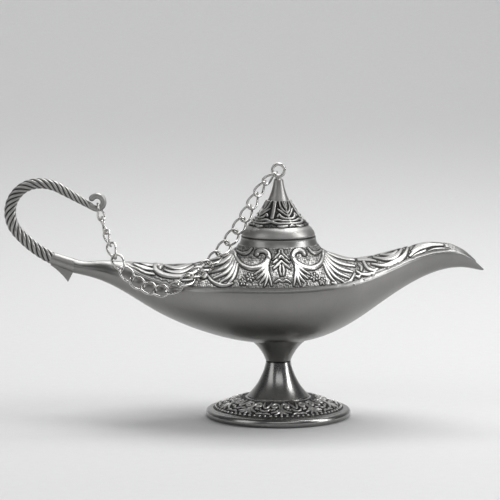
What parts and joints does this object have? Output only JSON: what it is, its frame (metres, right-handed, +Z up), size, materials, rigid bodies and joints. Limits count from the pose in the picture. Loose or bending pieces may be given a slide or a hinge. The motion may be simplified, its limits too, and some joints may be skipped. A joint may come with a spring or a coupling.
{
  "type": "oil lamp",
  "caption": "Footed boat-shaped metal oil lamp with embossed shoulder, long spout, twisted loop handle and a bell-shaped lid kept on a curb chain.",
  "frame": {"origin": "centre of the foot's underside, on the axis of the foot, mouth and lid", "axes": "+X towards the spout, +Z up, -Y towards the side the chain hangs on"},
  "size_m": [0.2056, 0.07, 0.1098],
  "materials": {
    "bowl_cast": "satin antique pewter, smooth",
    "shell_cast": "antique pewter, embossed, dark patina in the recesses",
    "foot_cast": "antique pewter, embossed dome, polished stem",
    "handle_cast": "antique pewter, twisted rope lay",
    "lid_cast": "antique pewter, engraved bell with dark recesses",
    "eye_wire": "bright wire",
    "chain_wire": "antique silvered wire",
    "screw_steel": "plain steel"
  },
  "bodies": {
    "lamp": {"foot": "foot_cast", "foot_screw": "screw_steel", "lower_bowl": "bowl_cast", "upper_shell": "shell_cast", "rope_handle": "handle_cast"},
    "lid_eye": {"lid_eye": "eye_wire"},
    "lid": {"lid": "lid_cast"},
    "chain_link_01": {"chain_link_01": "chain_wire"},
    "chain_link_02": {"chain_link_02": "chain_wire"},
    "chain_link_03": {"chain_link_03": "chain_wire"},
    "chain_link_04": {"chain_link_04": "chain_wire"},
    "chain_link_05": {"chain_link_05": "chain_wire"},
    "chain_link_06": {"chain_link_06": "chain_wire"},
    "chain_link_07": {"chain_link_07": "chain_wire"},
    "chain_link_08": {"chain_link_08": "chain_wire"},
    "chain_link_09": {"chain_link_09": "chain_wire"},
    "chain_link_10": {"chain_link_10": "chain_wire"},
    "chain_link_11": {"chain_link_11": "chain_wire"},
    "chain_link_12": {"chain_link_12": "chain_wire"},
    "chain_link_13": {"chain_link_13": "chain_wire"},
    "chain_link_14": {"chain_link_14": "chain_wire"},
    "chain_link_15": {"chain_link_15": "chain_wire"},
    "chain_link_16": {"chain_link_16": "chain_wire"},
    "chain_link_17": {"chain_link_17": "chain_wire"},
    "chain_link_18": {"chain_link_18": "chain_wire"},
    "chain_link_19": {"chain_link_19": "chain_wire"},
    "chain_link_20": {"chain_link_20": "chain_wire"},
    "chain_link_21": {"chain_link_21": "chain_wire"}
  },
  "joints": [
    {"name": "lid_lift", "type": "slide", "parent": "lamp", "child": "lid_eye", "axis": [0, 0, 1], "range_m": [0, 0.016]},
    {"name": "lid_turn", "type": "hinge", "parent": "lid_eye", "child": "lid", "pos_m": [0, 0, 0.0783], "axis": [0, 0, 1], "continuous": true},
    {"name": "link_01_swing", "type": "hinge", "parent": "lamp", "child": "chain_link_01", "pos_m": [-0.0776, 0, 0.0931], "axis": [-0.456, -0.7597, 0.4637], "range_deg": [0, 12.93]},
    {"name": "link_02_swing", "type": "hinge", "parent": "lamp", "child": "chain_link_02", "pos_m": [-0.0776, 0, 0.0931], "axis": [-0.456, -0.7597, 0.4637], "range_deg": [0, 12.93]},
    {"name": "link_03_swing", "type": "hinge", "parent": "lamp", "child": "chain_link_03", "pos_m": [-0.0776, 0, 0.0931], "axis": [-0.456, -0.7597, 0.4637], "range_deg": [0, 12.93]},
    {"name": "link_04_swing", "type": "hinge", "parent": "lamp", "child": "chain_link_04", "pos_m": [-0.0776, 0, 0.0931], "axis": [-0.456, -0.7597, 0.4637], "range_deg": [0, 12.93]},
    {"name": "link_05_swing", "type": "hinge", "parent": "lamp", "child": "chain_link_05", "pos_m": [-0.0776, 0, 0.0931], "axis": [-0.456, -0.7597, 0.4637], "range_deg": [0, 12.93]},
    {"name": "link_06_swing", "type": "hinge", "parent": "lamp", "child": "chain_link_06", "pos_m": [-0.0776, 0, 0.0931], "axis": [-0.456, -0.7597, 0.4637], "range_deg": [0, 12.93]},
    {"name": "link_07_swing", "type": "hinge", "parent": "lamp", "child": "chain_link_07", "pos_m": [-0.0776, 0, 0.0931], "axis": [-0.456, -0.7597, 0.4637], "range_deg": [0, 12.93]},
    {"name": "link_08_swing", "type": "hinge", "parent": "lamp", "child": "chain_link_08", "pos_m": [-0.0776, 0, 0.0931], "axis": [-0.456, -0.7597, 0.4637], "range_deg": [0, 12.93]},
    {"name": "link_09_swing", "type": "hinge", "parent": "lamp", "child": "chain_link_09", "pos_m": [-0.0776, 0, 0.0931], "axis": [-0.456, -0.7597, 0.4637], "range_deg": [0, 12.93]},
    {"name": "link_10_swing", "type": "hinge", "parent": "chain_link_15", "child": "chain_link_10", "pos_m": [-0.02593, -0.01123, 0.07193], "axis": [0.0204, -0.9978, -0.063], "range_deg": [0, 10.25]},
    {"name": "link_11_swing", "type": "hinge", "parent": "chain_link_15", "child": "chain_link_11", "pos_m": [-0.02593, -0.01123, 0.07193], "axis": [0.0204, -0.9978, -0.063], "range_deg": [0, 10.25]},
    {"name": "link_12_swing", "type": "hinge", "parent": "chain_link_15", "child": "chain_link_12", "pos_m": [-0.02593, -0.01123, 0.07193], "axis": [0.0204, -0.9978, -0.063], "range_deg": [0, 10.25]},
    {"name": "link_13_swing", "type": "hinge", "parent": "chain_link_15", "child": "chain_link_13", "pos_m": [-0.02593, -0.01123, 0.07193], "axis": [0.0204, -0.9978, -0.063], "range_deg": [0, 10.25]},
    {"name": "link_14_swing", "type": "hinge", "parent": "chain_link_15", "child": "chain_link_14", "pos_m": [-0.02593, -0.01123, 0.07193], "axis": [0.0204, -0.9978, -0.063], "range_deg": [0, 10.25]},
    {"name": "link_15_swing", "type": "hinge", "parent": "chain_link_18", "child": "chain_link_15", "pos_m": [-0.01521, -0.00543, 0.08593], "axis": [0.0204, -0.9978, -0.063], "range_deg": [0, 10.25]},
    {"name": "link_16_swing", "type": "hinge", "parent": "chain_link_18", "child": "chain_link_16", "pos_m": [-0.01521, -0.00543, 0.08593], "axis": [0.0204, -0.9978, -0.063], "range_deg": [0, 10.25]},
    {"name": "link_17_swing", "type": "hinge", "parent": "chain_link_18", "child": "chain_link_17", "pos_m": [-0.01521, -0.00543, 0.08593], "axis": [0.0204, -0.9978, -0.063], "range_deg": [0, 10.25]},
    {"name": "link_18_swing", "type": "hinge", "parent": "lid_eye", "child": "chain_link_18", "pos_m": [0, 0, 0.1065], "axis": [-0.4311, 0.9023, 0], "range_deg": [0, 1.02]},
    {"name": "link_19_swing", "type": "hinge", "parent": "lid_eye", "child": "chain_link_19", "pos_m": [0, 0, 0.1065], "axis": [-0.4311, 0.9023, 0], "range_deg": [0, 1.02]},
    {"name": "link_20_swing", "type": "hinge", "parent": "lid_eye", "child": "chain_link_20", "pos_m": [0, 0, 0.1065], "axis": [-0.4311, 0.9023, 0], "range_deg": [0, 1.02]},
    {"name": "link_21_swing", "type": "hinge", "parent": "lid_eye", "child": "chain_link_21", "pos_m": [0, 0, 0.1065], "axis": [-0.4311, 0.9023, 0], "range_deg": [0, 1.02]}
  ],
  "couplings": [
    {"joint": "link_01_swing", "follows": "lid_lift", "rad_per_m": 14.086},
    {"joint": "link_02_swing", "follows": "lid_lift", "rad_per_m": 14.086},
    {"joint": "link_03_swing", "follows": "lid_lift", "rad_per_m": 14.086},
    {"joint": "link_04_swing", "follows": "lid_lift", "rad_per_m": 14.086},
    {"joint": "link_05_swing", "follows": "lid_lift", "rad_per_m": 14.086},
    {"joint": "link_06_swing", "follows": "lid_lift", "rad_per_m": 14.086},
    {"joint": "link_07_swing", "follows": "lid_lift", "rad_per_m": 14.086},
    {"joint": "link_08_swing", "follows": "lid_lift", "rad_per_m": 14.086},
    {"joint": "link_09_swing", "follows": "lid_lift", "rad_per_m": 14.086},
    {"joint": "link_10_swing", "follows": "lid_lift", "rad_per_m": 11.157},
    {"joint": "link_11_swing", "follows": "lid_lift", "rad_per_m": 11.157},
    {"joint": "link_12_swing", "follows": "lid_lift", "rad_per_m": 11.157},
    {"joint": "link_13_swing", "follows": "lid_lift", "rad_per_m": 11.157},
    {"joint": "link_14_swing", "follows": "lid_lift", "rad_per_m": 11.157},
    {"joint": "link_15_swing", "follows": "lid_lift", "rad_per_m": 11.157},
    {"joint": "link_16_swing", "follows": "lid_lift", "rad_per_m": 11.157},
    {"joint": "link_17_swing", "follows": "lid_lift", "rad_per_m": 11.157},
    {"joint": "link_18_swing", "follows": "lid_lift", "rad_per_m": 1.0908},
    {"joint": "link_19_swing", "follows": "lid_lift", "rad_per_m": 1.0908},
    {"joint": "link_20_swing", "follows": "lid_lift", "rad_per_m": 1.0908},
    {"joint": "link_21_swing", "follows": "lid_lift", "rad_per_m": 1.0908}
  ]
}
